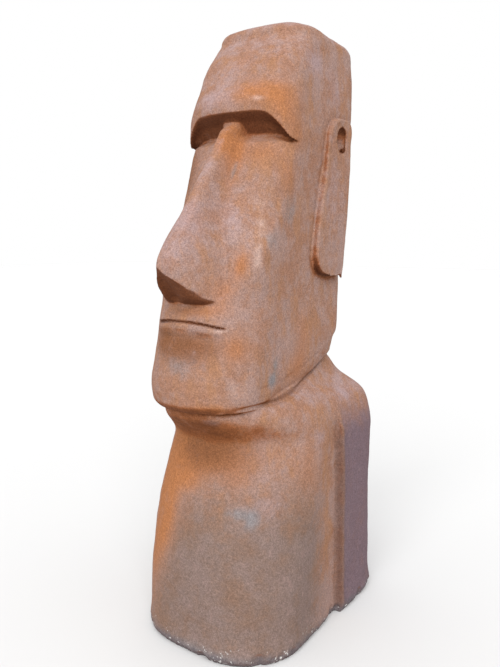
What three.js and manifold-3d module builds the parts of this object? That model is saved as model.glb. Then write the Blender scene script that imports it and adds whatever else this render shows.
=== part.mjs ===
// A garden moai in one cast piece: a long head with a heavy brow, a great nose and long ears on a cut-off
// torso. Millimetres, +Z up, the face looks along -Y and the statue's own left is +X.
import * as THREE from "three";
import { mergeVertices } from "three/addons/utils/BufferGeometryUtils.js";
import Module from "manifold-3d";

const wasm = await Module();
wasm.setup();

// ---- Driving dimensions: y is 0 just in front of the ears and negative towards the face ---------
const HEIGHT = 2000;
const NOSE_TIP_Y = -598; // the foremost point
const BACK_Y = 320; // the rearmost point, at the foot of the back
const CROWN_EDGE_Z = 1935; // where the front of the crown begins to round over
const CROWN_FALL = 14; // how much lower the crown ends at the back
const BROW_Z = 1680; // lower edge of the brow
const BROW_FALL = 84; // how far that edge drops towards the temple
const CHEEK_TOP_Z = 1588; // where the hollow under the brow ends and the cheek begins
const NOSE_RIM_Z = 1188; // lower rim of the nose at its tip
const NOSE_FOOT_Z = 1110; // where the underside of the nose meets the lip
const MOUTH_Z = 1056;
const MOUTH_HALF = 125;
const MOUTH_BEND = 0.0015; // the mouth droops by this times the distance from the middle squared
const JAW_Z = 786; // lower edge of the chin
const NAPE_RISE = 124; // how much higher the jaw line ends at the nape
const THROAT_Z = 656; // where the neck is narrowest
const SHOULDER_Z = 700;
const ARM_FRONT_Y = -32; // front edge of the upper arm
const ARM_PROUD = 24; // how far the arm steps out of the groove before it
const GROOVE_DEPTH = 14;
const EAR_X = 213; // outer face of the ear
const EAR_THICKNESS = 70; // most of it buried in the head
const EAR_EDGE = 7; // softening of the ear's edges

// ---- Small maths --------------------------------------------------------------------------------
const { clamp, lerp, smoothstep } = THREE.MathUtils;
const ramp = (from, to, value) => clamp((value - from) / (to - from), 0, 1);
const ease = (from, to, value) => smoothstep(value, from, to);
const hump = (middle, reach, value) => 1 - ease(0, reach, Math.abs(value - middle));

// A smooth line through a few stations [at, value] that never overshoots them.
function profile(...stations) {
  const at = stations.map((station) => station[0]);
  const value = stations.map((station) => station[1]);
  const step = at.slice(1).map((end, i) => end - at[i]);
  const slope = step.map((length, i) => (value[i + 1] - value[i]) / length);
  const tangent = at.map((_, i) => {
    const before = slope[i - 1] ?? slope[0];
    const after = slope[i] ?? slope[i - 1];
    return before * after <= 0 ? 0 : (2 * before * after) / (before + after);
  });
  return (where) => {
    const x = clamp(where, at[0], at[at.length - 1]);
    const i = clamp(at.findLastIndex((start) => start <= x), 0, step.length - 1);
    const u = (x - at[i]) / step[i];
    const leaving = (1 - u) * (tangent[i] - slope[i]);
    const arriving = u * (tangent[i + 1] - slope[i]);
    return lerp(value[i], value[i + 1], u) + u * (1 - u) * step[i] * (leaving - arriving);
  };
}

// Heights of the rows: each band [from, to, count] is divided evenly.
const levels = (...bands) =>
  bands.flatMap(([from, to, count]) => Array.from({ length: count }, (_, i) => lerp(from, to, i / count)));

// ---- Lofting ------------------------------------------------------------------------------------
// A section is a box with a bowed front and four elliptical corners. One ring of columns runs round it:
// each column knows the stretch it lies on, the side it is on and how far along the stretch it is.
function columns(count) {
  const stretch = (name, side, number, from, to) =>
    Array.from({ length: number }, (_, i) => ({ name, side, along: lerp(from, to, i / number) }));
  return [
    ...stretch("front", 1, count.front, -1, 1),
    ...stretch("frontCorner", 1, count.frontCorner, 0, 1),
    ...stretch("flank", 1, count.flank, 0, 1),
    ...stretch("backCorner", 1, count.backCorner, 1, 0),
    ...stretch("back", 1, count.back, 1, -1),
    ...stretch("backCorner", -1, count.backCorner, 0, 1),
    ...stretch("flank", -1, count.flank, 1, 0),
    ...stretch("frontCorner", -1, count.frontCorner, 1, 0),
  ];
}

const evenlyAcross = (reach, along) => reach * along;

function sectionPoint(section, column, acrossFront = evenlyAcross, alongFlank = lerp) {
  const { half, front, back, bow, corner, backCorner } = section;
  const turn = (column.along * Math.PI) / 2;
  const frontAt = (x) => front + bow * x * x;
  if (column.name === "front") {
    const x = acrossFront(half - corner.x, column.along);
    return new THREE.Vector3(x, frontAt(x), 0);
  }
  if (column.name === "frontCorner") {
    const x = half - corner.x * (1 - Math.sin(turn));
    return new THREE.Vector3(column.side * x, frontAt(x) + corner.y * (1 - Math.cos(turn)), 0);
  }
  if (column.name === "flank") {
    const y = alongFlank(frontAt(half) + corner.y, back - backCorner.y, column.along);
    return new THREE.Vector3(column.side * half, y, 0);
  }
  if (column.name === "backCorner") {
    const x = half - backCorner.x * (1 - Math.sin(turn));
    return new THREE.Vector3(column.side * x, back - backCorner.y * (1 - Math.cos(turn)), 0);
  }
  return new THREE.Vector3(column.along * (half - backCorner.x), back, 0);
}

// Closes a stack of rings with a point below and a point above.
function loft(rings) {
  const count = rings[0].length;
  const middle = (ring) => ring.reduce((sum, p) => sum.add(p), new THREE.Vector3()).divideScalar(count);
  const points = [...rings.flat(), middle(rings[0]), middle(rings[rings.length - 1])];
  const below = points.length - 2;
  const above = points.length - 1;
  const top = (rings.length - 1) * count;
  const index = [];
  for (let column = 0; column < count; column++) {
    const next = (column + 1) % count;
    index.push(below, next, column, above, top + column, top + next);
    for (let row = 0; row < rings.length - 1; row++) {
      const a = row * count + column;
      const b = row * count + next;
      index.push(a, b, b + count, a, b + count, a + count);
    }
  }
  const geometry = new THREE.BufferGeometry().setFromPoints(points);
  geometry.setIndex(index);
  return geometry;
}

// ---- Solids -------------------------------------------------------------------------------------
function solid(geometry) {
  geometry.deleteAttribute("normal");
  geometry.deleteAttribute("uv");
  const merged = mergeVertices(geometry, 1e-3);
  const vertProperties = merged.attributes.position.array;
  const triVerts = new Uint32Array(merged.index.array);
  return new wasm.Manifold(new wasm.Mesh({ numProp: 3, vertProperties, triVerts }));
}

function geometryOf(manifold) {
  const { vertProperties, triVerts } = manifold.getMesh();
  const geometry = new THREE.BufferGeometry();
  geometry.setAttribute("position", new THREE.BufferAttribute(vertProperties, 3));
  geometry.setIndex(new THREE.BufferAttribute(triVerts, 1));
  return geometry.toNonIndexed();
}

// ---- The head -----------------------------------------------------------------------------------
// Each line of the head is given by its stations from the chin up to the crown.
const head = {
  half: profile(
    [JAW_Z, 180], [834, 188], [959, 192], [1100, 188], [1400, 188], [1590, 196], [1700, 197],
    [CROWN_EDGE_Z, 180],
  ),
  front: profile(
    [JAW_Z, -536], [800, -549], [840, -554], [900, -549], [985, -534], [1060, -527], [1112, -503],
    [1160, -492], [1226, -468], [1308, -432], [1400, -380], [1490, -334], [CHEEK_TOP_Z, -285],
    [1612, -272], [1650, -278], [BROW_Z, -298], [1710, -300], [1780, -260], [1860, -210],
    [CROWN_EDGE_Z, -150],
  ),
  back: profile(
    [JAW_Z, 112], [900, 122], [985, 142], [1080, 150], [1170, 156], [1430, 182], [1700, 218],
    [1850, 238], [CROWN_EDGE_Z, 242],
  ),
  bow: profile(
    [JAW_Z, 0.0026], [1060, 0.0028], [1226, 0.0016], [1365, 0.0024], [1560, 0.0014], [BROW_Z, 0.0016],
    [CROWN_EDGE_Z, 0.001],
  ),
  cornerX: profile(
    [JAW_Z, 78], [1120, 90], [1300, 66], [1450, 64], [1600, 62], [BROW_Z, 26], [1720, 34],
    [CROWN_EDGE_Z, 70],
  ),
  cornerY: profile(
    [JAW_Z, 74], [1120, 80], [1300, 60], [1450, 62], [1600, 62], [BROW_Z, 22], [1720, 36],
    [CROWN_EDGE_Z, 80],
  ),
};

const headSection = (z) => ({
  half: head.half(z),
  front: head.front(z),
  back: head.back(z),
  bow: head.bow(z),
  corner: { x: head.cornerX(z), y: head.cornerY(z) },
  backCorner: { x: 62, y: 50 },
});

const nose = {
  half: profile(
    [JAW_Z, 80], [1050, 100], [1120, 110], [NOSE_RIM_Z, 108], [1260, 92], [1365, 62], [1500, 46], [1640, 44],
    [1800, 56], [CROWN_EDGE_Z, 60],
  ),
  flat: profile([NOSE_FOOT_Z, 40], [NOSE_RIM_Z, 30], [1260, 24], [1365, 16], [1600, 14]),
  ridge: profile(
    [NOSE_FOOT_Z, -580], [NOSE_RIM_Z, -594], [1222, NOSE_TIP_Y], [1280, -572], [1381, -492], [1500, -404],
    [1600, -326], [1640, -302], [BROW_Z, -298],
  ),
  rimAt: (x) => NOSE_RIM_Z - 0.92 * (Math.hypot(x, 30) - 30),
};

// The middle columns follow the nose from the bridge to the wings, the outer ones spread over the cheeks.
const NOSE_SHARE = 7 / 12;
function acrossFace(z) {
  const edge = nose.half(z);
  return (reach, along) => {
    const share = Math.abs(along);
    const onNose = edge * (share / NOSE_SHARE);
    const onCheek = lerp(edge, reach, ramp(NOSE_SHARE, 1, share));
    return Math.sign(along) * (share < NOSE_SHARE ? onNose : onCheek);
  };
}

// How far the nose stands out of the face. Its underside rounds back from the rim to a ledge at the lip.
function noseRelief(x, z, faceY) {
  const flank = ramp(nose.flat(z), nose.half(z), Math.abs(x));
  const rounded = lerp(flank, ease(0, 1, flank), 0.6);
  const ledge = ramp(NOSE_FOOT_Z - 7, NOSE_FOOT_Z, z);
  const underside = lerp(0.25, 1, ramp(NOSE_FOOT_Z, nose.rimAt(x), z) ** 0.65) * ledge;
  const fadeIntoBrow = 1 - ease(1622, 1668, z);
  return Math.min(0, nose.ridge(z) - faceY) * (1 - rounded) * underside * fadeIntoBrow;
}

// The hollow under the brow, the thin mouth with its lower lip, and the shallow hollow above the chin.
function faceRelief(x, z) {
  const across = Math.abs(x);
  const besideTemple = 1 - ease(140, 190, across);
  const hollow = 30 * ease(CHEEK_TOP_Z, 1612, z) * (1 - ramp(1618, BROW_Z, z)) * besideTemple;
  const overMouth = 1 - ease(MOUTH_HALF - 30, MOUTH_HALF + 8, across);
  const slit = 5 * hump(MOUTH_Z, 5, z);
  const lowerLip = -5 * ramp(MOUTH_Z - 44, MOUTH_Z - 24, z) * (1 - ramp(MOUTH_Z - 6, MOUTH_Z, z));
  const aboveChin = 6 * hump(985, 45, z) * (1 - ease(60, 150, across));
  return hollow + overMouth * (slit + lowerLip) + aboveChin;
}

// How far a row is carried down where it follows the brow, the rim of the nose or the mouth.
function rowFall(x, row) {
  const across = Math.abs(x);
  const edge = nose.half(row);
  const nearBrow = ramp(CHEEK_TOP_Z, BROW_Z, row) * (1 - ease(BROW_Z, 1850, row));
  const nearRim = ramp(NOSE_FOOT_Z, NOSE_RIM_Z, row) * (1 - ease(NOSE_RIM_Z, 1330, row));
  const rim = (NOSE_RIM_Z - nose.rimAt(Math.min(across, edge))) * (1 - ease(edge, edge + 66, across));
  const mouth = MOUTH_BEND * Math.min(MOUTH_HALF, across) ** 2;
  return BROW_FALL * ramp(108, 194, across) ** 2 * nearBrow + rim * nearRim + mouth * hump(MOUTH_Z, 75, row);
}

// The carving fades out along the flank, so that the back of the head stays plain.
function facing(column) {
  if (column.name === "flank") return 1 - ease(0, 0.5, column.along);
  return column.name.startsWith("front") ? 1 : 0;
}

// The jaw line climbs from the chin back to the nape, and the crown falls away behind the forehead.
const jawClimb = { startY: -390, endY: 90, fadedOutZ: 1010 };
const crownSlope = { startY: -60, endY: 235, startZ: 1720 };

function headPoint(row, column) {
  const p = sectionPoint(headSection(row), column, acrossFace(row));
  p.z = row - facing(column) * rowFall(p.x, row);
  p.y += facing(column) * faceRelief(p.x, row);
  p.y += facing(column) * noseRelief(p.x, p.z, p.y);
  const climbed = ramp(jawClimb.startY, jawClimb.endY, p.y) ** 1.7;
  const fallen = ease(crownSlope.startY, crownSlope.endY, p.y);
  p.z += NAPE_RISE * climbed * (1 - ease(JAW_Z, jawClimb.fadedOutZ, row));
  p.z -= CROWN_FALL * fallen * ramp(crownSlope.startZ, CROWN_EDGE_Z, row);
  return p;
}

// Draws a ring in towards the middle, lifts it, and brings it by a share towards one level.
const drawnIn = (ring, centreY, scale, lift, share, level) =>
  ring.map((p) => new THREE.Vector3(p.x * scale, lerp(centreY, p.y, scale), lerp(p.z + lift, level, share)));

function headSolid() {
  const ring = columns({ front: 24, frontCorner: 4, flank: 6, backCorner: 3, back: 4 });
  const chinRows = levels([JAW_Z, 810, 3], [810, 1000, 5], [1000, MOUTH_Z - 26, 2]);
  const mouthRows = levels([MOUTH_Z - 26, MOUTH_Z - 6, 2], [MOUTH_Z - 6, MOUTH_Z + 6, 4]);
  const lipRows = levels([MOUTH_Z + 6, NOSE_FOOT_Z - 7, 3], [NOSE_FOOT_Z - 7, NOSE_FOOT_Z, 1]);
  const noseRows = levels([NOSE_FOOT_Z, NOSE_RIM_Z, 6], [NOSE_RIM_Z, 1260, 4], [1260, CHEEK_TOP_Z, 10]);
  const browRows = levels([CHEEK_TOP_Z, 1612, 2], [1612, BROW_Z, 5], [BROW_Z, 1720, 3]);
  const foreheadRows = [...levels([1720, CROWN_EDGE_Z, 7]), CROWN_EDGE_Z];
  const rows = [...chinRows, ...mouthRows, ...lipRows, ...noseRows, ...browRows, ...foreheadRows];
  const rings = rows.map((row) => ring.map((column) => headPoint(row, column)));
  // Scale, lift and levelling of the rings that round off the jaw below and the crown above.
  const jaw = [[0.55, 30, 1], [0.93, 2, 0], [0.955, -7, 0], [0.98, -6, 0]];
  const crown = [[0.985, 14, 0], [0.955, 25, 0], [0.9, 34, 0.04], [0.7, 40, 0.4], [0.4, 0, 1]];
  return solid(
    loft([
      ...jaw.map(([scale, lift, share]) => drawnIn(rings[0], -215, scale, lift, share, JAW_Z + 34)),
      ...rings,
      ...crown.map(([scale, lift, share]) => drawnIn(rings.at(-1), 15, scale, lift, share, HEIGHT)),
    ]),
  );
}

// ---- The torso ----------------------------------------------------------------------------------
// The throat narrows and flares again above, so that it meets the underside of the jaw.
const torso = {
  half: profile(
    [0, 289], [300, 287], [560, 284], [650, 281], [SHOULDER_Z, 275], [757, 256], [790, 225], [820, 191],
    [886, 158], [940, 130],
  ),
  front: profile(
    [0, -512], [200, -506], [400, -484], [500, -462], [590, -426], [THROAT_Z, -406], [SHOULDER_Z, -436],
    [724, -464], [770, -500], [940, -500],
  ),
  back: profile(
    [0, BACK_Y], [300, 300], [560, 285], [SHOULDER_Z, 268], [757, 250], [816, 196], [886, 150],
    [940, 100],
  ),
  cornerX: profile([0, 220], [200, 228], [400, 260], [500, 288], [600, 306], [680, 300], [940, 300]),
  cornerY: profile([0, 220], [200, 228], [400, 260], [500, 288], [600, 306], [700, 330], [780, 400], [940, 404]),
  backCorner: profile([0, 175], [400, 160], [600, 125], [SHOULDER_Z, 92], [757, 80], [940, 80]),
  turn: profile([0, -0.07], [400, -0.04], [SHOULDER_Z, 0], [940, 0]),
};

function torsoSection(z) {
  const half = torso.half(z);
  return {
    half,
    front: torso.front(z),
    back: torso.back(z),
    bow: 0,
    corner: { x: Math.min(torso.cornerX(z), half * 0.9), y: torso.cornerY(z) },
    backCorner: { x: torso.backCorner(z), y: torso.backCorner(z) },
  };
}

// Columns on the torso's flank gather at the step from the groove out to the arm.
function alongTorso(from, to, along) {
  const atStep = [-30, -9, -3, 3, 9].map((offset) => ARM_FRONT_Y + offset);
  const stops = [from, lerp(from, ARM_FRONT_Y, 0.5), ...atStep, lerp(ARM_FRONT_Y, to, 0.5), to];
  return stops[Math.round(along * (stops.length - 1))];
}

// The flank sinks slowly into the groove before the arm, then steps out to it.
function armRelief(y, z) {
  const step = ease(ARM_FRONT_Y - 8, ARM_FRONT_Y + 8, y);
  const sink = ease(ARM_FRONT_Y - 220, ARM_FRONT_Y - 10, y);
  const belowShoulder = 1 - ease(SHOULDER_Z - 70, SHOULDER_Z + 30, z);
  return belowShoulder * (ARM_PROUD * step - GROOVE_DEPTH * sink);
}

function torsoPoint(row, column) {
  const p = sectionPoint(torsoSection(row), column, evenlyAcross, alongTorso);
  const onSide = column.name === "flank" || column.name === "backCorner";
  p.x += onSide ? column.side * armRelief(p.y, row) : 0;
  p.y += torso.turn(row) * p.x * (1 - ease(-400, 0, p.y));
  p.z = row;
  return p;
}

function torsoSolid() {
  const ring = columns({ front: 8, frontCorner: 6, flank: 8, backCorner: 4, back: 4 });
  const throatRows = levels([560, THROAT_Z, 4], [THROAT_Z, SHOULDER_Z, 2]);
  const rows = [...levels([0, 560, 8]), ...throatRows, ...levels([SHOULDER_Z, 900, 8]), 900];
  return solid(loft(rows.map((row) => ring.map((column) => torsoPoint(row, column)))));
}

// ---- The ears -----------------------------------------------------------------------------------
// A long slab, wider at the lobe than at the top, with an oval hollow under the curl of the upper rim.
function earOutline() {
  const outline = new THREE.Shape();
  outline.moveTo(-12, 1600);
  outline.bezierCurveTo(-6, 1688, 60, 1712, 154, 1682);
  outline.lineTo(146, 1530);
  outline.lineTo(130, 1336);
  outline.lineTo(108, 1181);
  outline.quadraticCurveTo(60, 1163, -28, 1177);
  outline.quadraticCurveTo(-76, 1184, -80, 1246);
  outline.bezierCurveTo(-70, 1350, -22, 1470, -12, 1600);
  return outline;
}

function addEar(whole, side) {
  const slab = new THREE.ExtrudeGeometry(earOutline(), {
    depth: EAR_THICKNESS,
    bevelSize: EAR_EDGE,
    bevelThickness: EAR_EDGE,
    bevelOffset: -EAR_EDGE,
    bevelSegments: 2,
    curveSegments: 5,
  });
  slab.rotateX(Math.PI / 2).rotateZ(Math.PI / 2);
  slab.translate(side > 0 ? EAR_X - EAR_EDGE - EAR_THICKNESS : EAR_EDGE - EAR_X, 0, 0);
  const hollow = new THREE.SphereGeometry(1, 12, 8);
  hollow.scale(22, 30, 47).rotateX(-0.3).translate(side * (EAR_X + 3), 79, 1622);
  return whole.add(solid(slab)).subtract(solid(hollow));
}

// ---- The piece ----------------------------------------------------------------------------------
const statue = [1, -1].reduce(addEar, headSolid().add(torsoSolid()));

const castStone = new THREE.MeshStandardMaterial({ color: 0xa8694f, roughness: 0.95, metalness: 0 });
const mesh = new THREE.Mesh(geometryOf(statue), castStone);
mesh.name = "moai_statue";
mesh.position.y = -(NOSE_TIP_Y + BACK_Y) / 2;

const group = new THREE.Group();
group.add(mesh);
export default group;
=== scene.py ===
# %% [markdown]
# # A cast head on its broad torso
# The real thing is a garden statue: one thin shell of cast stone, rubbed with several coats of
# thin colour so that it looks like weathered volcanic rock. The solids already give its size and
# its main planes. This lesson gives it a skin: soft edges, hand-cut details, wear, and the paint.

import math

import bpy
import numpy as np
from mathutils import Euler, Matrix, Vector
from mathutils.bvhtree import BVHTree


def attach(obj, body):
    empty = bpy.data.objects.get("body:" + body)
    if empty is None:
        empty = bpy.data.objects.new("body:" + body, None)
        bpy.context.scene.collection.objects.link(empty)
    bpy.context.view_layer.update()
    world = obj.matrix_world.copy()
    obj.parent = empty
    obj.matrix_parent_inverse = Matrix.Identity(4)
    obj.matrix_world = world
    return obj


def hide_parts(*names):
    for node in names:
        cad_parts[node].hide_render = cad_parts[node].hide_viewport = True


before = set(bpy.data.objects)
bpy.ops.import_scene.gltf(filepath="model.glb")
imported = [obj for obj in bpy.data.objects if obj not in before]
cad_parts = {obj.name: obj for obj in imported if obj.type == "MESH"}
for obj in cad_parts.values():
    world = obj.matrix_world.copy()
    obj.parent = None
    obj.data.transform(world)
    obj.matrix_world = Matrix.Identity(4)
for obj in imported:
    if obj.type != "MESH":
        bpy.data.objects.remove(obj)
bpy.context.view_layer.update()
scene = bpy.context.scene

# %% [markdown]
# ## The camera
# The camera stands in front of the statue and to the right, a little above half its height, and
# looks down slightly. It is placed first, so that every later step can be looked at from there.

# %% Place the camera
CAMERA_PLACE = (1.2974, -1.9465, 1.2820)
CAMERA_TURN = math.radians(34)
CAMERA_DIP = math.radians(7.5)
CAMERA_LENS_MM = 37.24

camera_data = bpy.data.cameras.new("camera")
camera_data.lens = CAMERA_LENS_MM
camera_data.sensor_width = 36
camera_data.clip_end = 200
camera = bpy.data.objects.new("camera", camera_data)
camera.location = CAMERA_PLACE
camera.rotation_euler = Euler((math.pi / 2 - CAMERA_DIP, 0, CAMERA_TURN))
scene.collection.objects.link(camera)
scene.camera = camera
print("camera lens", camera_data.lens, "mm")

# %% [markdown]
# ## Copying the solid as a sculptor's blank
# A cast like this starts as a blocked-out form. Here the blank is a copy of the solid's mesh. Its
# triangles arrive loose, so they are merged first and then paired into four-sided faces, because
# Subdivision Surface rounds those more evenly than triangles.


# %% Helpers for edit mode and modifiers
def deselect_all():
    bpy.ops.object.select_all(action="DESELECT")


def make_active(piece):
    deselect_all()
    piece.select_set(True)
    bpy.context.view_layer.objects.active = piece


def apply_modifier(piece, kind, **settings):
    """Adds one modifier, sets it and applies it, as the modifier panel would."""
    make_active(piece)
    modifier = piece.modifiers.new(kind.lower(), kind)
    for name, value in settings.items():
        setattr(modifier, name, value)
    bpy.ops.object.modifier_apply(modifier=modifier.name)


def places(piece):
    """The places of a piece's vertices, one row each."""
    flat = np.empty(len(piece.data.vertices) * 3)
    piece.data.vertices.foreach_get("co", flat)
    return flat.reshape(-1, 3)


def normals(piece):
    """The directions that the skin faces at a piece's vertices, one row each."""
    flat = np.empty(len(piece.data.vertices) * 3)
    piece.data.vertices.foreach_get("normal", flat)
    return flat.reshape(-1, 3)


# %% Copy and merge the blank
SOLID = "moai_statue"
MERGE_DISTANCE = 0.0001
FLATNESS_ANGLE = math.radians(50)
SHARP_ANGLE = math.radians(32)
EDGE_CREASE = 0.5

statue = bpy.data.objects.new("statue_skin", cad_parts[SOLID].data.copy())
statue.data.materials.clear()
scene.collection.objects.link(statue)
make_active(statue)
bpy.ops.object.mode_set(mode="EDIT")
bpy.ops.mesh.select_all(action="SELECT")
bpy.ops.mesh.remove_doubles(threshold=MERGE_DISTANCE)
bpy.ops.mesh.tris_convert_to_quads(face_threshold=FLATNESS_ANGLE, shape_threshold=FLATNESS_ANGLE)
bpy.ops.mesh.select_mode(type="EDGE")
bpy.ops.mesh.select_all(action="DESELECT")
bpy.ops.mesh.edges_select_sharp(sharpness=SHARP_ANGLE)
bpy.ops.transform.edge_crease(value=EDGE_CREASE)
bpy.ops.object.mode_set(mode="OBJECT")
print("blank:", len(statue.data.polygons), "faces")

# %% [markdown]
# ## Rounding without shrinking
# Subdivision Surface pulls every corner inwards, so a plainly rounded copy would be thinner than
# the statue. The cure is to ease the cage outwards first, by as much as the rounding pulls it in,
# and to look again a few times. The rounded skin then passes through the points of the blank.


# %% Ease the cage outwards
EASING_PASSES = 3
EASING_SHARE = 0.85


def set_places(piece, points):
    """Moves a piece's vertices to new places."""
    piece.data.vertices.foreach_set("co", points.ravel())
    piece.data.update()


def places_under(piece, kind, **settings):
    """Where the piece's own points would end up under one more modifier."""
    modifier = piece.modifiers.new("trial", kind)
    for name, value in settings.items():
        setattr(modifier, name, value)
    trial = piece.evaluated_get(bpy.context.evaluated_depsgraph_get())
    mesh = trial.to_mesh()
    flat = np.empty(len(mesh.vertices) * 3)
    mesh.vertices.foreach_get("co", flat)
    trial.to_mesh_clear()
    piece.modifiers.remove(modifier)
    return flat.reshape(-1, 3)[: len(piece.data.vertices)]


wanted = places(statue)
for attempt in range(EASING_PASSES):
    missed = wanted - places_under(statue, "SUBSURF", levels=2)
    set_places(statue, places(statue) + EASING_SHARE * missed)
    print("rounding misses the blank by up to", round(1000 * np.abs(missed).max(), 1), "mm")

# %% Round the blank and give it an even grid
SKIN_CELL = 0.0036
SOFTENING_PASSES = 6

apply_modifier(statue, "SUBSURF", levels=2, render_levels=2)
apply_modifier(statue, "REMESH", mode="VOXEL", voxel_size=SKIN_CELL)
apply_modifier(statue, "SMOOTH", factor=0.5, iterations=SOFTENING_PASSES)
print("skin:", len(statue.data.polygons), "faces")

# %% [markdown]
# ## Working with painted weights
# A carver presses a tool in more or less along a line, and rubs some places smoother than others.
# Here a vertex group says how hard each point is worked: Displace moves the painted points along
# their normals, and Smooth rubs them. Each group is painted for one step and removed after it.

# %% Helpers that press and rub where it is painted
WEIGHT_STEPS = 40


def smooth_step(low, high, value):
    """A soft step from 0 at low to 1 at high, which falls with the value where low is the larger."""
    share = np.clip((value - low) / (high - low), 0, 1)
    return share * share * (3 - 2 * share)


def worked(piece, name, weights, kind, **settings):
    """Paints the weights as a vertex group and applies one modifier to it."""
    group = piece.vertex_groups.new(name=name)
    levels = np.round(weights * WEIGHT_STEPS).astype(int)
    for level in range(1, WEIGHT_STEPS + 1):
        group.add(np.flatnonzero(levels == level).tolist(), level / WEIGHT_STEPS, "REPLACE")
    apply_modifier(piece, kind, vertex_group=name, **settings)
    piece.vertex_groups.remove(piece.vertex_groups[name])


def press(piece, name, weights, depth):
    """Presses the painted points in by depth metres, or lifts them where depth is negative."""
    worked(piece, name, weights, "DISPLACE", strength=-depth, mid_level=0)


def rub(piece, name, weights, passes):
    """Smooths the painted points."""
    worked(piece, name, weights, "SMOOTH", factor=0.5, iterations=passes)


# %% Rub the broad forms smooth
# how far from the middle the nose ends, at a few heights
NOSE_EDGE_Z = (1.110, 1.174, 1.217, 1.261, 1.304, 1.364, 1.409, 1.471, 1.588)
NOSE_EDGE_X = (0.128, 0.118, 0.106, 0.093, 0.078, 0.058, 0.051, 0.043, 0.039)
# a band: its low end, its high end, and how far it fades out past them
RUBBED_HEIGHTS = {
    "neck": (0.66, 0.72, 0.07),
    "forehead": (1.712, 1.80, 0.02),
    "nose_ridge": (1.25, 1.56, 0.04),
    "jaw_corner": (0.86, 1.12, 0.05),
    "lips": (1.015, 1.072, 0.008),
}
RUBBED_PASSES = {"neck": 70, "forehead": 80, "nose_ridge": 80, "jaw_corner": 90, "lips": 50}


def nose_edge(z):
    """How far from the middle the nose ends at each height."""
    return np.interp(z, NOSE_EDGE_Z, NOSE_EDGE_X)


def within(band, value):
    """1 inside a band, falling to 0 over its fade outside."""
    low, high, fade = band
    return smooth_step(low - fade, low, value) * (1 - smooth_step(high, high + fade, value))


x, y, z = places(statue).T
off_middle = np.abs(x)
rubbed_plan = {
    "neck": smooth_step(0.10, -0.05, y),
    "forehead": smooth_step(0.05, -0.05, y),
    "nose_ridge": smooth_step(0.95, 0.6, off_middle / nose_edge(z)) * (y < -0.15),
    "jaw_corner": smooth_step(0.11, 0.15, off_middle) * (y < -0.12),
    "lips": (1 - smooth_step(0.14, 0.16, off_middle)) * (y < -0.25),
}
for name, plan in rubbed_plan.items():
    rub(statue, name, within(RUBBED_HEIGHTS[name], z) * plan, RUBBED_PASSES[name])
print("broad forms rubbed smooth")

# %% [markdown]
# ## Bringing the edges back
# Remeshing and smoothing leave every edge as soft as soap. A sculptor would crisp them with a
# flat tool: what stands out of its surroundings is raised a little and what lies in is cut deeper.
# Here each point is compared with where smoothing would take it, and moved the other way.

# %% Crisp the edges
CRISPING = 1.1
CRISPING_PASSES = 24
CRISPING_LIMIT = 0.005
RIM_HEIGHT = 0.032

smoothed = places_under(statue, "SMOOTH", factor=0.5, iterations=CRISPING_PASSES)
standing_out = ((places(statue) - smoothed) * normals(statue)).sum(1)
lifted = np.clip(CRISPING * standing_out, -CRISPING_LIMIT, CRISPING_LIMIT)
lifted = np.where(places(statue)[:, 2] > RIM_HEIGHT, lifted, 0)
set_places(statue, places(statue) + lifted[:, None] * normals(statue))
apply_modifier(statue, "SMOOTH", factor=0.5, iterations=2)
print("edges moved by up to", round(1000 * np.abs(lifted).max(), 1), "mm")

# %% [markdown]
# ## Cutting the nose, the mouth and the jaw
# The underside of the nose is one slanting cut, so the points that stick out below its plane are
# moved back onto it. The mouth is a single thin line over a flat lower lip, the jaw ends in a
# crease that climbs to the nape, and a soft furrow runs down either side of the nose.

# %% Cut the underside of the nose
UNDERSIDE_NORMAL = np.array((0.415, 0.652, 0.635))
UNDERSIDE_LEVEL = 0.4588
UNDERSIDE_APEX_X = -0.03
UNDERSIDE_HEIGHTS = (1.112, 1.24, 0.012)
DEEPEST_CUT = 0.02

points = places(statue)
x, y, z = points.T
folded = points.copy()
folded[:, 0] = UNDERSIDE_APEX_X + np.abs(x - UNDERSIDE_APEX_X)
short_of_plane = np.clip(UNDERSIDE_LEVEL - folded @ UNDERSIDE_NORMAL, 0, DEEPEST_CUT)
cut = short_of_plane * (within(UNDERSIDE_HEIGHTS, z) * smooth_step(-0.34, -0.37, y))
either_side = np.stack([np.sign(x - UNDERSIDE_APEX_X), np.ones_like(x), np.ones_like(x)], axis=1)
set_places(statue, points + cut[:, None] * (UNDERSIDE_NORMAL * either_side))
print("nose cut back by up to", round(1000 * cut.max(), 1), "mm")

# %% Cut the mouth line and lift the lower lip
MOUTH_MIDDLE_Z = 1.053
MOUTH_DROOP_LEFT = 1.35
MOUTH_DROOP_RIGHT = 0.80
MOUTH_END_X = 0.130
MOUTH_HALF_WIDTH = 0.0045
MOUTH_DEPTH = 0.0115
LIP_BELOW_MOUTH = (0.006, 0.016, 0.016)
LIP_HEIGHT = 0.0022
FACE_FRONT_Y = -0.25


def mouth_height(x):
    """The height of the mouth line, which droops at its ends and more so on the left."""
    droop = np.where(x > 0, MOUTH_DROOP_LEFT, MOUTH_DROOP_RIGHT)
    return MOUTH_MIDDLE_Z - droop * np.minimum(np.abs(x), MOUTH_END_X) ** 2


def along_mouth(x, y):
    """1 along the mouth, 0 past its ends and behind the face."""
    return (y < FACE_FRONT_Y) * (1 - smooth_step(MOUTH_END_X - 0.012, MOUTH_END_X + 0.004, np.abs(x)))


def on_mouth_line(points, half_width):
    """1 on the mouth line, 0 beside it and past its ends."""
    x, y, z = points.T
    return np.clip(1 - ((z - mouth_height(x)) / half_width) ** 2, 0, 1) * along_mouth(x, y)


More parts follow.
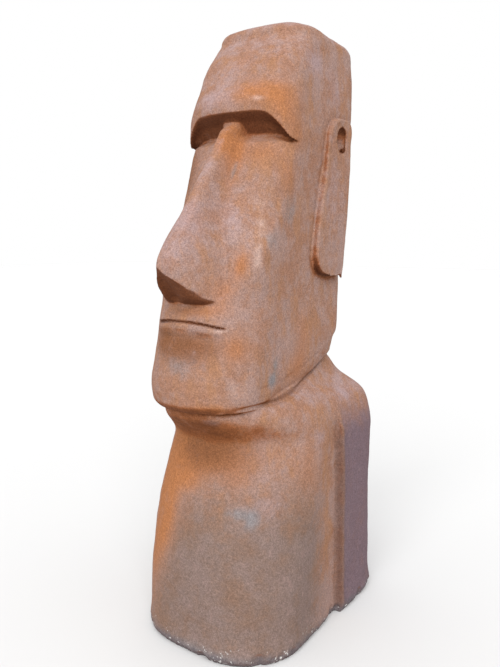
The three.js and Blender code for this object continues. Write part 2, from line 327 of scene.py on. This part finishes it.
x, y, z = places(statue).T
below_mouth = mouth_height(x) - z
press(statue, "lower_lip", within(LIP_BELOW_MOUTH, below_mouth) * along_mouth(x, y), -LIP_HEIGHT)
press(statue, "mouth", on_mouth_line(places(statue), MOUTH_HALF_WIDTH), MOUTH_DEPTH)
print("mouth line", 2 * MOUTH_END_X, "m wide")

# %% Press in the furrows beside the nose and the crease under the jaw
FURROW_INSET = 0.006
FURROW_HALF_WIDTH = 0.015
FURROW_HEIGHTS = (1.17, 1.36, 0.07)
FURROW_DEPTH = 0.0035
JAW_FRONT_Z = 0.796
JAW_CLIMB = 0.10
JAW_CLIMB_START_Y = -0.20
JAW_CLIMB_LENGTH = 0.40
HEAD_SIDE_X = 0.187
SIDE_CUT = 0.012
SIDE_ABOVE_JAW = (0.004, 0.05, 0.006)
SIDE_LENGTH = (-0.26, 0.10, 0.04)
CREASE_DROP = 0.005
CREASE_HALF_WIDTH = 0.008
CREASE_LENGTH = (-0.28, 0.14, 0.06)
CREASE_DEPTH = 0.006


def jaw_line(y):
    """The height of the jaw's lower edge, which climbs towards the nape."""
    along = np.clip((y - JAW_CLIMB_START_Y) / JAW_CLIMB_LENGTH, 0, 1)
    return JAW_FRONT_Z + JAW_CLIMB * along**1.7


x, y, z = places(statue).T
beside_furrow = (np.abs(x) - nose_edge(z) + FURROW_INSET) / FURROW_HALF_WIDTH
in_furrow = np.clip(1 - beside_furrow**2, 0, 1) * within(FURROW_HEIGHTS, z) * (y < -0.2)
press(statue, "furrow", in_furrow, FURROW_DEPTH)

points = places(statue)
x, y, z = points.T
beside_jaw = within(SIDE_ABOVE_JAW, z - jaw_line(y)) * within(SIDE_LENGTH, y)
points[:, 0] -= np.sign(x) * np.clip(np.abs(x) - HEAD_SIDE_X, 0, SIDE_CUT) * beside_jaw
set_places(statue, points)

x, y, z = points.T
in_crease = np.clip(1 - ((z - jaw_line(y) + CREASE_DROP) / CREASE_HALF_WIDTH) ** 2, 0, 1)
in_crease *= smooth_step(0.13, 0.16, np.abs(x)) * within(CREASE_LENGTH, y)
press(statue, "jaw_crease", in_crease, CREASE_DEPTH)
print("furrows and jaw crease pressed in")

# %% Open the hollow of the ear, curl its upper rim, and fill out the chin
EAR_HOLLOW_MIDDLE = (0.220, 1.622)
EAR_HOLLOW_REACH = (0.040, 0.046)
EAR_HOLLOW_DEPTH = 0.010
EAR_ROOT_X = 0.17
CURL_RADIUS = 0.074
CURL_HALF_WIDTH = 0.017
CURL_HEIGHT = 0.0025
CHIN_SIDE_MIDDLE = (-0.13, -0.36, 0.845)
CHIN_SIDE_REACH = (0.07, 0.09, 0.055)
CHIN_SIDE_FILL = 0.007

x, y, z = places(statue).T
ear_y, ear_z = y - EAR_HOLLOW_MIDDLE[0], z - EAR_HOLLOW_MIDDLE[1]
hollow = np.clip(1 - (ear_y / EAR_HOLLOW_REACH[0]) ** 2 - (ear_z / EAR_HOLLOW_REACH[1]) ** 2, 0, 1)
from_curl = (np.hypot(ear_y, ear_z) - CURL_RADIUS) / CURL_HALF_WIDTH
curl = np.clip(1 - from_curl**2, 0, 1) * smooth_step(-0.01, 0.03, ear_z)
press(statue, "ear_hollow", hollow**0.5 * (np.abs(x) > EAR_ROOT_X), EAR_HOLLOW_DEPTH)
press(statue, "ear_curl", curl * smooth_step(0.196, 0.204, np.abs(x)), -CURL_HEIGHT)

from_chin_side = (places(statue) - CHIN_SIDE_MIDDLE) / CHIN_SIDE_REACH
press(statue, "chin_side", np.exp(-(from_chin_side**2).sum(1)), -CHIN_SIDE_FILL)
print("ear and chin worked")

# %% [markdown]
# ## The hand-made surface
# Cast stone keeps the marks of the clay model: wide, shallow waves from the modeller's hands and
# smaller dents between them. Both come from Displace modifiers that read a cloud texture.


# %% Waves and dents
HAND_MARKS = (
    # name, size of the clouds, detail, height
    ("hand_waves", 0.115, 1, 0.0050),
    ("dents", 0.034, 1, 0.0016),
)


def clouds(name, size, detail):
    texture = bpy.data.textures.new(name, "CLOUDS")
    texture.noise_scale = size
    texture.noise_depth = detail
    return texture


for name, size, detail, height in HAND_MARKS:
    marks = {"texture": clouds(name, size, detail), "texture_coords": "LOCAL"}
    apply_modifier(statue, "DISPLACE", strength=height, mid_level=0.5, **marks)
print("surface roughened:", len(statue.data.vertices), "points")

# %% [markdown]
# ## A chipped rim
# A statue this heavy is walked about on its bottom edge, so the rim is where it chips. Bites of
# different sizes are pressed in along the foot, and the underside is made flat again afterwards.

# %% Bites along the rim
RIM_BITES = 90
RIM_WEAR = 0.03
SMALLEST_BITE = 0.006
BITE_SPREAD = 0.022
BITE_DEPTH = 0.011
BITE_SEED = 11
chance = np.random.default_rng(BITE_SEED)


def bites(piece, middles, reaches):
    """Weights of round bites: full in the middle of each, nothing at its edge."""
    points = places(piece)
    weights = np.zeros(len(points))
    for middle, reach in zip(middles, reaches):
        near = np.flatnonzero(np.abs(points - middle).max(1) < reach)
        depth = np.clip(1 - ((points[near] - middle) ** 2).sum(1) / reach**2, 0, 1)
        weights[near] = np.maximum(weights[near], depth * reach / max(reaches))
    return weights


points = places(statue)
worn = np.clip(1 - points[:, 2] / RIM_HEIGHT, 0, 1) ** 2
points[:, :2] *= 1 - RIM_WEAR * worn[:, None]
set_places(statue, points)
rim_points = points[(points[:, 2] > 0.002) & (points[:, 2] < 0.02)]
rim_middles = chance.choice(rim_points, RIM_BITES)
rim_reaches = SMALLEST_BITE + BITE_SPREAD * chance.random(RIM_BITES) ** 3
press(statue, "rim_bites", bites(statue, rim_middles, rim_reaches), BITE_DEPTH)
print("bites in the rim:", RIM_BITES)

# %% [markdown]
# ## Fewer faces where the surface is plain
# The even grid has a point every few millimetres, flat or not. Decimate now joins the faces of the
# plain planes and keeps the small ones where an edge, a line or a chip needs them.

# %% Thin the grid out and level the underside
MOST_TRIANGLES = 194000
FLAT_BELOW = 0.004


def count_triangles(piece):
    return sum(len(face.vertices) - 2 for face in piece.data.polygons)


dense = count_triangles(statue)
apply_modifier(statue, "DECIMATE", ratio=MOST_TRIANGLES / dense)
points = places(statue)
points[:, 2] = np.where(points[:, 2] < FLAT_BELOW, 0, points[:, 2])
set_places(statue, points)
print("triangles:", dense, "before and", count_triangles(statue), "after")

# %% [markdown]
# ## Smooth shading, and the piece's place in the frame
# The surface is one soft skin, so it is shaded smooth all over.

# %% Shade it smooth and hand it to the frame
make_active(statue)
bpy.ops.object.shade_smooth()
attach(statue, "root")
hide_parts(SOLID)
print("shaded smooth and riding on the root")

# %% [markdown]
# ## How much sky each point sees
# The paint reads this for painted shade, mixed with rust, where little sky is seen: under the
# brow, the nose and the jaw; and for painted sky light on the open tops. Rays are sent from every
# point towards the sky, and the share that gets away is kept on the mesh as an attribute that the
# paint can read.

# %% Send rays to the sky
SKY_RAYS = 40
RAY_START = 0.004
RAY_REACH = 0.7
GRAZING = 0.05
GOLDEN_TURN = math.pi * (3 - math.sqrt(5))


def sky_directions(count):
    """Directions spread evenly over the upper half of a ball."""
    rising = (np.arange(count) + 0.5) / count
    turn = np.arange(count) * GOLDEN_TURN
    level = np.sqrt(1 - rising**2)
    return np.stack([level * np.cos(turn), level * np.sin(turn), rising], axis=1)


def sky_seen(piece):
    """0 where a point sees no sky, about a half on a free wall, and 1 on a free top."""
    directions = sky_directions(SKY_RAYS)
    rays = [Vector(direction) for direction in directions]
    depsgraph = bpy.context.evaluated_depsgraph_get()
    tree = BVHTree.FromObject(piece, depsgraph)
    points, facing = places(piece), normals(piece)
    slant = np.clip(facing @ directions.T, 0, None)
    seen = np.zeros(len(points))
    for index, (point, normal) in enumerate(zip(points, facing)):
        start = Vector(point + RAY_START * normal)
        for ray in np.flatnonzero(slant[index] > GRAZING):
            if tree.ray_cast(start, rays[ray], RAY_REACH)[0] is None:
                seen[index] += slant[index, ray]
    return seen / directions[:, 2].sum()


def keep(piece, name, values):
    """Keeps one number for each point as an attribute of the mesh."""
    layer = piece.data.attributes.new(name, "FLOAT", "POINT")
    layer.data.foreach_set("value", np.asarray(values, dtype=np.float32))


sky = sky_seen(statue)
keep(statue, "sky", sky)
print("sky seen, from", round(sky.min(), 2), "to", round(sky.max(), 2))

# %% [markdown]
# ## Where each coat is dabbed on
# The statue is painted with a sponge, so each coat is a set of soft dabs. A dab has a place, a
# reach along x, y and z, and a strength. The dabs of a coat are added up into one attribute, and
# the material later breaks their edges up with noise, as a sponge would.


# %% A helper that dabs a coat on
def dabbed(points, dabs):
    """How much of a coat lies at each point."""
    coat = np.zeros(len(points))
    for place, reach, strength in dabs:
        offset = (points - place) / reach
        coat += strength * np.exp(-(offset**2).sum(1))
    return coat


# %% The rust coat
RUST_DABS = (
    # the forehead above the brow, and the end of the brow
    ((0.077, -0.138, 1.743), (0.075, 0.10, 0.040), 0.75),
    ((0.161, -0.099, 1.730), (0.060, 0.10, 0.050), 0.65),
    ((0.009, -0.081, 1.846), (0.035, 0.08, 0.030), 0.40),
    ((0.180, -0.105, 1.670), (0.045, 0.07, 0.040), 0.50),
    ((0.196, -0.055, 1.610), (0.040, 0.05, 0.050), 0.60),
    # the root of the nose and the run beside it
    ((0.023, -0.173, 1.605), (0.040, 0.08, 0.060), 1.20),
    ((0.050, -0.185, 1.500), (0.022, 0.06, 0.070), 0.70),
    ((0.128, -0.147, 1.560), (0.080, 0.06, 0.050), 0.60),
    ((0.190, -0.090, 1.480), (0.035, 0.05, 0.060), 0.55),
    # the cheek, the wing of the nose and the lips
    ((0.146, -0.292, 1.218), (0.022, 0.06, 0.045), 0.80),
    ((0.107, -0.327, 1.140), (0.035, 0.06, 0.050), 0.55),
    ((0.060, -0.375, 1.085), (0.090, 0.06, 0.022), 0.60),
    # the hollow above the chin, and the side of the jaw
    ((0.035, -0.389, 0.985), (0.080, 0.06, 0.028), 0.45),
    ((-0.071, -0.378, 0.990), (0.050, 0.06, 0.035), 0.60),
    ((0.151, -0.324, 0.972), (0.035, 0.06, 0.050), 0.70),
    ((0.188, -0.041, 0.873), (0.060, 0.07, 0.060), 0.55),
    ((0.191, 0.004, 0.980), (0.050, 0.05, 0.100), 0.50),
    ((0.102, -0.383, 0.800), (0.140, 0.05, 0.018), 0.60),
    # the throat, and the far side of the chest
    ((0.012, -0.291, 0.704), (0.150, 0.12, 0.070), 1.10),
    ((0.000, -0.275, 0.610), (0.130, 0.12, 0.050), 0.80),
    ((-0.140, -0.270, 0.597), (0.080, 0.12, 0.100), 1.00),
    ((-0.145, -0.300, 0.420), (0.065, 0.14, 0.130), 1.30),
    ((-0.190, -0.320, 0.250), (0.050, 0.12, 0.100), 0.60),
    ((-0.039, -0.306, 0.536), (0.060, 0.08, 0.040), 0.60),
    ((0.131, -0.272, 0.560), (0.050, 0.08, 0.050), 0.30),
    ((0.271, -0.084, 0.565), (0.050, 0.07, 0.090), 0.40),
)

points = places(statue)
x, y, z = points.T
keep(statue, "rust", dabbed(points, RUST_DABS))
print("rust:", len(RUST_DABS), "dabs")

# %% The bark, lilac, slate and pale coats, with painted shade in the bark and painted highlights in the pale
# Most bark dabs lie in hollows, above the chin, below the nose, in the throat, beside the root of the
# nose and in the ear's hollow: brown paint together with painted shade.
BARK_DABS = (
    ((0.035, -0.389, 0.985), (0.100, 0.08, 0.035), 0.75),
    ((-0.071, -0.378, 0.990), (0.060, 0.08, 0.045), 0.85),
    ((0.000, -0.395, 1.082), (0.090, 0.06, 0.020), 0.55),
    ((0.030, -0.410, 0.945), (0.130, 0.08, 0.045), 0.45),
    ((0.020, -0.280, 0.630), (0.160, 0.12, 0.070), 0.90),
    ((-0.150, -0.140, 1.500), (0.060, 0.12, 0.140), 0.75),
    ((0.110, -0.150, 1.560), (0.060, 0.08, 0.040), 0.30),
    ((0.212, 0.220, 1.625), (0.020, 0.035, 0.040), 0.70),
)
LILAC_DABS = (
    ((0.187, 0.071, 1.853), (0.05, 0.05, 0.045), 0.80),
    ((0.192, 0.200, 1.790), (0.05, 0.05, 0.070), 0.60),
    ((-0.057, -0.151, 1.727), (0.08, 0.06, 0.035), 0.70),
    ((-0.060, -0.100, 1.830), (0.06, 0.06, 0.060), 0.40),
    ((0.022, -0.366, 1.361), (0.06, 0.06, 0.120), 0.70),
    ((-0.016, -0.440, 1.240), (0.08, 0.06, 0.050), 0.50),
    ((0.075, -0.250, 1.370), (0.05, 0.06, 0.080), 0.50),
    ((0.212, 0.160, 1.450), (0.04, 0.06, 0.140), 0.50),
    ((0.248, 0.190, 0.760), (0.06, 0.08, 0.040), 0.70),
    ((0.219, -0.239, 0.479), (0.05, 0.06, 0.045), 0.45),
    ((0.271, -0.020, 0.655), (0.03, 0.05, 0.040), 0.50),
)
SLATE_DABS = (
    ((0.050, -0.190, 1.500), (0.010, 0.04, 0.035), 0.65),
    ((0.187, -0.079, 1.380), (0.030, 0.035, 0.060), 0.55),
    ((0.187, -0.183, 1.290), (0.020, 0.035, 0.030), 0.50),
    ((0.187, -0.180, 0.862), (0.030, 0.026, 0.022), 0.95),
    ((0.188, -0.165, 0.905), (0.030, 0.018, 0.030), 0.65),
    ((0.067, -0.317, 0.746), (0.030, 0.04, 0.014), 1.20),
    ((0.137, -0.308, 0.462), (0.045, 0.05, 0.018), 0.70),
    ((0.184, -0.285, 0.445), (0.022, 0.05, 0.030), 0.70),
    ((0.011, -0.407, 0.917), (0.060, 0.05, 0.035), 0.45),
    ((0.060, -0.330, 0.530), (0.100, 0.06, 0.030), 0.28),
    ((0.060, -0.400, 0.020), (0.200, 0.10, 0.030), 0.55),
)
# Most pale dabs are thin lines and spots on ridges and edges, along the brow, the cheek ridge, the
# end of the lower lip, the crown's edge and the chin's corner: painted highlights together with pale
# paint.
PALE_AND_HIGHLIGHT_DABS = (
    ((0.109, -0.141, 1.716), (0.022, 0.04, 0.010), 0.65),
    ((0.150, -0.185, 1.390), (0.014, 0.03, 0.030), 0.40),
    ((0.164, -0.206, 1.334), (0.013, 0.03, 0.040), 0.50),
    ((0.174, -0.235, 1.270), (0.009, 0.03, 0.035), 0.50),
    ((0.178, -0.250, 1.225), (0.008, 0.03, 0.020), 0.60),
    ((0.118, -0.350, 1.028), (0.030, 0.03, 0.006), 0.75),
    ((0.150, -0.060, 1.935), (0.050, 0.10, 0.025), 0.55),
    ((0.155, -0.320, 0.850), (0.030, 0.04, 0.030), 0.40),
    ((0.212, 0.245, 1.182), (0.012, 0.008, 0.007), 1.20),
)
PITTED_DABS = (
    ((0.010, -0.450, 1.225), (0.075, 0.05, 0.055), 1.00),
    ((0.110, -0.110, 1.860), (0.060, 0.08, 0.050), 0.50),
)

COATS = {"bark": BARK_DABS, "lilac": LILAC_DABS, "slate": SLATE_DABS, "pale_and_highlight": PALE_AND_HIGHLIGHT_DABS}
for name, dabs in COATS.items():
    keep(statue, name, dabbed(points, dabs))
    print(name + ":", len(dabs), "dabs")

# %% Painted shade in the mouth line, the jaw crease, the undersides and the arm's groove, and the greyed planes
MOUTH_SHADE_WIDENING = 1.3
JAW_SHADOW = 0.7
JAW_SHADOW_DROP = 0.002
JAW_SHADOW_HALF_WIDTH = 0.006
JAW_SHADOW_LENGTH = (-0.20, 0.24, 0.05)
ARM_STEP_Y = 0.107
GROOVE_HALF_WIDTH = 0.014
PITTED_ALL_OVER = 0.12

normal_z = normals(statue)[:, 2]
# Painted shade: a dark line in the mouth cut, and a painted shadow along the crease under the jaw.
under_jaw = (z - jaw_line(y) + JAW_SHADOW_DROP) / JAW_SHADOW_HALF_WIDTH
jaw_shadow = np.exp(-(under_jaw**2)) * (np.abs(x) > 0.12) * within(JAW_SHADOW_LENGTH, y)
mouth_line_shade = on_mouth_line(points, MOUTH_SHADE_WIDENING * MOUTH_HALF_WIDTH)
keep(statue, "crease_shade", np.maximum(mouth_line_shade, JAW_SHADOW * jaw_shadow))
# Painted shade: faces of the head that turn downwards, under the brow, the nose and the ears, are
# painted dark later.
keep(statue, "under", smooth_step(0.20, 0.55, -normal_z) * smooth_step(0.85, 1.0, z))

# Painted shade in the groove and the step in front of the arm.
in_groove = np.exp(-(((y - ARM_STEP_Y) / GROOVE_HALF_WIDTH) ** 2)) * (np.abs(x) > 0.2)
keep(statue, "groove", in_groove * smooth_step(0.74, 0.60, z))
keep(statue, "plum", smooth_step(ARM_STEP_Y, ARM_STEP_Y + 0.02, y) * smooth_step(0.80, 0.60, z))

umber_edge = -0.07 - 0.35 * np.clip(0.42 - z, 0, 0.42)
umber = smooth_step(0.70, 0.32, z) * smooth_step(0.10, -0.16, y)
keep(statue, "umber", umber * smooth_step(umber_edge - 0.10, umber_edge + 0.10, x))
keep(statue, "pitted", PITTED_ALL_OVER + (1 - PITTED_ALL_OVER) * dabbed(points, PITTED_DABS))
print("stain, undersides, groove, plum, umber and pits kept")

# %% [markdown]
# ## Writing shader maths as sums
# A finish is a small recipe of numbers that change over the surface. The class below wraps one
# such number, so that a plain sum or product in Python adds the Math node that works it out.


# %% A number that changes over the surface
class Tone:
    """The output socket of a node, which can be added, taken away and multiplied."""

    def __init__(self, finish, socket):
        self.finish = finish
        self.socket = socket

    def __add__(self, other):
        return self.finish.math("ADD", self, other)

    __radd__ = __add__

    def __sub__(self, other):
        return self.finish.math("SUBTRACT", self, other)

    def __rsub__(self, other):
        return self.finish.math("SUBTRACT", other, self)

    def __mul__(self, other):
        return self.finish.math("MULTIPLY", self, other)

    __rmul__ = __mul__


class Finish:
    """A material that is grown one node at a time."""

    def __init__(self, name):
        self.material = bpy.data.materials.new(name)
        self.material.use_nodes = True
        self.tree = self.material.node_tree
        self.tree.nodes.clear()

    def node(self, kind, settings, inputs, output=0):
        """Adds a node, sets it, fills its sockets, and gives back one of its outputs."""
        made = self.tree.nodes.new("ShaderNode" + kind)
        for name, value in settings.items():
            setattr(made, name, value)
        for name, value in inputs.items():
            if isinstance(value, Tone):
                self.tree.links.new(value.socket, made.inputs[name])
            else:
                made.inputs[name].default_value = value
        return Tone(self, made.outputs[output]) if made.outputs else None

    def math(self, operation, first, second):
        """The sum, difference or product of two numbers, of which one may be a plain one."""
        return self.node("Math", {"operation": operation}, {0: first, 1: second})

    def attribute(self, name):
        return self.node("Attribute", {"attribute_name": name}, {}, output="Fac")

    def step(self, value, low, high):
        """A soft step from 0 at low to 1 at high."""
        limits = {"Value": value, "From Min": low, "From Max": high}
        return self.node("MapRange", {"interpolation_type": "SMOOTHSTEP"}, limits)

    def noise(self, place, scale, detail=3.0, roughness=0.55):
        inputs = {"Vector": place, "Scale": scale, "Detail": detail, "Roughness": roughness}
        return self.node("TexNoise", {}, inputs)

    def mix(self, share, under, over):
        """The colour over laid on the colour under by a share from 0 to 1."""
        settings = {"data_type": "RGBA", "clamp_factor": True}
        return self.node("Mix", settings, {0: share, 6: under, 7: over}, output=2)

    def shade(self, share, colour, amount):
        """Multiplies a colour by a grey that runs from 1 - amount to 1 + amount."""
        level = share * (2 * amount) + (1 - amount)
        grey = self.node("CombineColor", {}, {0: level, 1: level, 2: level})
        settings = {"data_type": "RGBA", "blend_type": "MULTIPLY"}
        return self.node("Mix", settings, {0: 1.0, 6: colour, 7: grey}, output=2)


print("ready to mix finishes")

# %% [markdown]
# ## The patinated finish
# From below upwards: a brown and pink ground, umber and plum on the torso, rust and bark with
# painted shade in the bark, painted sky light on the open tops, lilac, slate and pale coats with
# painted highlights in the pale one, painted shade mixed with a dark stain in everything that sees
# little sky, under the head and in the creases, a worn foot with white chips, and the grain of the
# sand that shows through them all.

# %% Colours of the coats
BROWN = (0.285, 0.150, 0.102, 1)
PINK = (0.325, 0.210, 0.178, 1)
TAN = (0.320, 0.158, 0.084, 1)
UMBER = (0.168, 0.108, 0.080, 1)
GREY_UMBER = (0.178, 0.132, 0.118, 1)
PLUM = (0.140, 0.098, 0.120, 1)
RUST = (0.350, 0.138, 0.052, 1)
SHADED_RUST = (0.270, 0.100, 0.045, 1)
SHADED_DEEP_RUST = (0.200, 0.060, 0.018, 1)
BARK = (0.175, 0.072, 0.034, 1)
LILAC = (0.345, 0.250, 0.258, 1)
SLATE = (0.190, 0.186, 0.196, 1)
PALE_AND_HIGHLIGHT = (0.500, 0.350, 0.300, 1)
STAIN_AND_SHADE = (0.088, 0.029, 0.013, 1)
GROOVE_SHADE = (0.110, 0.062, 0.050, 1)
RIM = (0.130, 0.115, 0.125, 1)
CHIP = (0.620, 0.600, 0.580, 1)
SPECK = (0.090, 0.045, 0.030, 1)
print("colours mixed, from", STAIN_AND_SHADE[:3], "to", CHIP[:3])

# %% Lay the coats
stone = Finish("patinated_cast_stone")
place = stone.node("TexCoord", {}, {}, output="Object")
tall = stone.node("Mapping", {}, {"Vector": place, "Scale": (1.0, 1.0, 0.30)})
blotch = stone.noise(place, 6.0, detail=4.0, roughness=0.6)
sponge = stone.noise(place, 24.0, detail=5.0, roughness=0.65)
other_sponge = stone.noise(tall, 17.0, detail=5.0, roughness=0.68)
runs = stone.noise(tall, 40.0, detail=4.0, roughness=0.65)
dapple = stone.noise(place, 80.0, detail=3.0, roughness=0.7)
grain = stone.noise(place, 260.0, detail=2.0, roughness=0.8)
coarse_grain = stone.noise(place, 125.0, detail=3.0, roughness=0.8)

broken = blotch * 0.35 + sponge * 0.35 + dapple * 0.12 + runs * 0.18
SPONGED = 1.5


def sky_step(breaking, low, high):
    """0 where a point sees little sky and 1 where it sees much, with a broken edge between."""
    return stone.step(stone.attribute("sky") + (broken - 0.5) * breaking, low, high)


def coat(colour, name, paint, softness, strength):
    """Lays one dabbed coat over a colour, with its edge broken up by the sponge."""
    amount = stone.attribute(name) + (broken - 0.5) * SPONGED
    return stone.mix(stone.step(amount, 0.5 - softness, 0.5 + softness) * strength, colour, paint)


colour = stone.mix(stone.step(blotch * 0.6 + sponge * 0.4, 0.38, 0.62), BROWN, PINK)
colour = stone.mix(stone.step(other_sponge, 0.44, 0.68) * 0.75, colour, TAN)
umber = stone.mix(stone.step(blotch * 0.7 + other_sponge * 0.3, 0.36, 0.62), UMBER, GREY_UMBER)
colour = coat(colour, "umber", umber, softness=0.6, strength=0.88)
colour = coat(colour, "plum", PLUM, softness=0.55, strength=0.90)
# Painted shade mixed with rust: where a point sees little sky its colour is pulled towards a shaded
# rust.
low_sky_shade = 1 - sky_step(0.7, 0.22, 0.46)
colour = stone.mix(low_sky_shade * 0.8, colour, SHADED_RUST)
colour = coat(colour, "rust", RUST, softness=0.5, strength=0.92)
# Brown paint, and painted shade in the hollows.
colour = coat(colour, "bark", BARK, softness=0.5, strength=0.85)
# Painted sky light: the planes that see most sky are painted lighter, towards lilac.
colour = stone.mix(sky_step(1.0, 0.66, 1.0) * 0.45, colour, LILAC)
colour = coat(colour, "lilac", LILAC, softness=0.5, strength=0.7)
colour = coat(colour, "slate", SLATE, softness=0.45, strength=0.8)
# Pale paint and painted highlights on ridges and edges.
colour = coat(colour, "pale_and_highlight", PALE_AND_HIGHLIGHT, softness=0.5, strength=0.8)
print("coats laid, nodes so far:", len(stone.tree.nodes))

# %% Paint shade into the places that see little sky, the undersides and the creases
# Painted shade mixed with rust and a dark stain: the less sky a point sees, the darker it is painted.
deep = 1 - sky_step(0.6, 0.16, 0.36)
dark = 1 - sky_step(0.4, 0.05, 0.24)
under = stone.step(stone.attribute("under") + (broken - 0.5) * 0.8, 0.25, 0.75)
colour = stone.mix(deep * 0.65, colour, SHADED_DEEP_RUST)
colour = stone.mix(dark * 0.65, colour, STAIN_AND_SHADE)
# Painted shade on the downward faces of the head.
colour = stone.mix(under * 0.62, colour, STAIN_AND_SHADE)
# Painted shade in the arm's groove.
colour = stone.mix(stone.attribute("groove") * 0.75, colour, GROOVE_SHADE)
# Painted shade in the mouth line and the jaw crease.
colour = stone.mix(stone.attribute("crease_shade") * 0.9, colour, STAIN_AND_SHADE)
print("sheltered places stained, nodes so far:", len(stone.tree.nodes))

# %% Wear at the foot, dark pits, and the sandy grain
FOOT_TOP_Z = 0.050
CHIPS_TOP_Z = 0.10
PIT_SCALE = 120.0

height = stone.node("SeparateXYZ", {}, {"Vector": place}, output="Z")
foot = 1 - stone.step(height + (broken - 0.5) * 0.16, 0.010, FOOT_TOP_Z)
colour = stone.mix(foot * 0.85, colour, RIM)
chip_zone = 1 - stone.step(height, 0.0, CHIPS_TOP_Z)
flakes = stone.noise(place, 95.0, detail=2.0, roughness=0.5) + stone.noise(place, 14.0) * 0.5
chips = stone.step(flakes + chip_zone * 0.12, 1.00, 1.04) * chip_zone
colour = stone.mix(chips * 0.85, colour, CHIP)
pits = stone.node("TexVoronoi", {}, {"Vector": place, "Scale": PIT_SCALE}, output="Distance")
in_pit = (1 - stone.step(pits, 0.10, 0.26)) * stone.attribute("pitted")
colour = stone.mix(in_pit * 0.7, colour, SPECK)
colour = stone.shade(stone.step(coarse_grain, 0.30, 0.70), colour, 0.15)
colour = stone.shade(stone.step(grain, 0.30, 0.70), colour, 0.24)
print("foot, pits and grain added, nodes so far:", len(stone.tree.nodes))

# %% Roughness, relief and the shader
relief = grain * 0.6 + coarse_grain * 0.8 + dapple * 0.6
bump = stone.node("Bump", {}, {"Strength": 0.55, "Distance": 0.004, "Height": relief})
roughness = 0.72 + grain * 0.2
surface = {"Base Color": colour, "Roughness": roughness, "Specular IOR Level": 0.08, "Normal": bump}
finished = stone.node("BsdfPrincipled", {}, surface)
stone.node("OutputMaterial", {}, {"Surface": finished})
statue.data.materials.append(stone.material)
print(stone.material.name, "has", len(stone.tree.nodes), "nodes")

# %% [markdown]
# ## Floor, sky and lamp
# The statue stands on a plain pale floor under an even white sky, with one broad soft lamp in
# front of it and above. The lamp is a sun with a wide angle, so that its shadow edges stay soft.

# %% Floor, sky and lamp
FLOOR_SIZE = 60
FLOOR_DROP = 0.0005
FLOOR_GREY = 0.66
SKY_STRENGTH = 1.0
KEY_FROM = Vector((1.6, -3.4, 3.2))
KEY_STRENGTH = 2.6
KEY_WIDTH = math.radians(50)

bpy.ops.mesh.primitive_plane_add(size=FLOOR_SIZE, location=(0, 0, -FLOOR_DROP))
floor = bpy.context.active_object
floor.name = "studio_floor"
floor_finish = Finish("floor_white")
floor_paint = (FLOOR_GREY, FLOOR_GREY, FLOOR_GREY, 1)
floor_surface = {"Base Color": floor_paint, "Roughness": 0.9, "Specular IOR Level": 0.1}
floor_shader = floor_finish.node("BsdfPrincipled", {}, floor_surface)
floor_finish.node("OutputMaterial", {}, {"Surface": floor_shader})
floor.data.materials.append(floor_finish.material)

world = bpy.data.worlds.new("soft_white")
world.use_nodes = True
world.node_tree.nodes["Background"].inputs["Color"].default_value = (1, 1, 1, 1)
world.node_tree.nodes["Background"].inputs["Strength"].default_value = SKY_STRENGTH
scene.world = world

key_data = bpy.data.lights.new("key", "SUN")
key_data.energy = KEY_STRENGTH
key_data.angle = KEY_WIDTH
key = bpy.data.objects.new("key", key_data)
key.location = KEY_FROM
key.rotation_euler = KEY_FROM.to_track_quat("Z", "Y").to_euler()
scene.collection.objects.link(key)

scene.view_settings.view_transform = "Standard"
print("floor, sky and lamp set")
